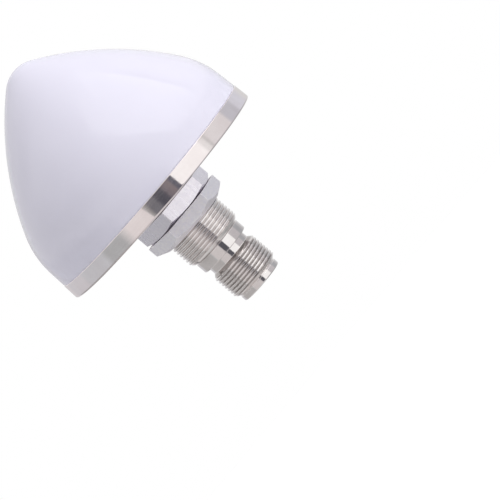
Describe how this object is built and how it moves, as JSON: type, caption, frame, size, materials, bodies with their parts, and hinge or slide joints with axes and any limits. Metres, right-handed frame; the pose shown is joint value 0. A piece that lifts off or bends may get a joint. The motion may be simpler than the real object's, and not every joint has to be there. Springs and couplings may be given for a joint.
{
  "type": "gps antenna",
  "caption": "Pointed white dome on a polished round base, with a threaded stem, hexagon nuts and a coaxial socket at the lower end.",
  "frame": {"origin": "centre of the coaxial socket's open face, the lowest point of the part", "axes": "+Z along the stem, from the socket towards the tip of the dome; +X and +Y are across it"},
  "size_m": [0.072, 0.072, 0.0887],
  "materials": {
    "radome": "glossy white weatherproof plastic",
    "rim_nickel": "mirror polished nickel plate",
    "stem_nickel": "bright turned nickel plate",
    "nut_alloy": "satin, drawn hexagon bar",
    "contact_gold": "gold plate",
    "seal_rubber": "black moulded rubber",
    "white_bead": "machined fluoroplastic",
    "brass": "turned brass",
    "copper": "drawn copper tube",
    "silvered_wire": "silver plated wire",
    "board_green": "fibreglass with green mask",
    "screw_steel": "plated steel",
    "tinned_sheet": "tinned steel sheet",
    "patch_ceramic": "fired ceramic with a silver face",
    "pad_foam": "double sided foam tape",
    "chip_black": "moulded chip package",
    "chip_tan": "small ceramic parts"
  },
  "bodies": {
    "root": {"connector_shell": "stem_nickel", "connector_seal": "seal_rubber", "contact_insulator": "white_bead", "centre_contact": "contact_gold", "lead_ferrule": "brass", "lead_sleeve": "copper", "lead_insulation": "white_bead", "lead_core": "silvered_wire", "stem": "stem_nickel", "stem_seal": "seal_rubber", "mounting_nut": "nut_alloy", "retaining_nut": "nut_alloy", "base_plate": "rim_nickel", "radome": "radome", "radome_seal": "seal_rubber", "board_posts": "brass", "board_screws": "screw_steel", "circuit_board": "board_green", "shield_can": "tinned_sheet", "patch_pad": "pad_foam", "ceramic_patch": "patch_ceramic", "feed_pin": "brass", "amplifier_chip": "chip_black", "filter_chip": "chip_tan", "regulator_chip": "chip_black", "chip_parts": "chip_tan"}
  },
  "joints": []
}
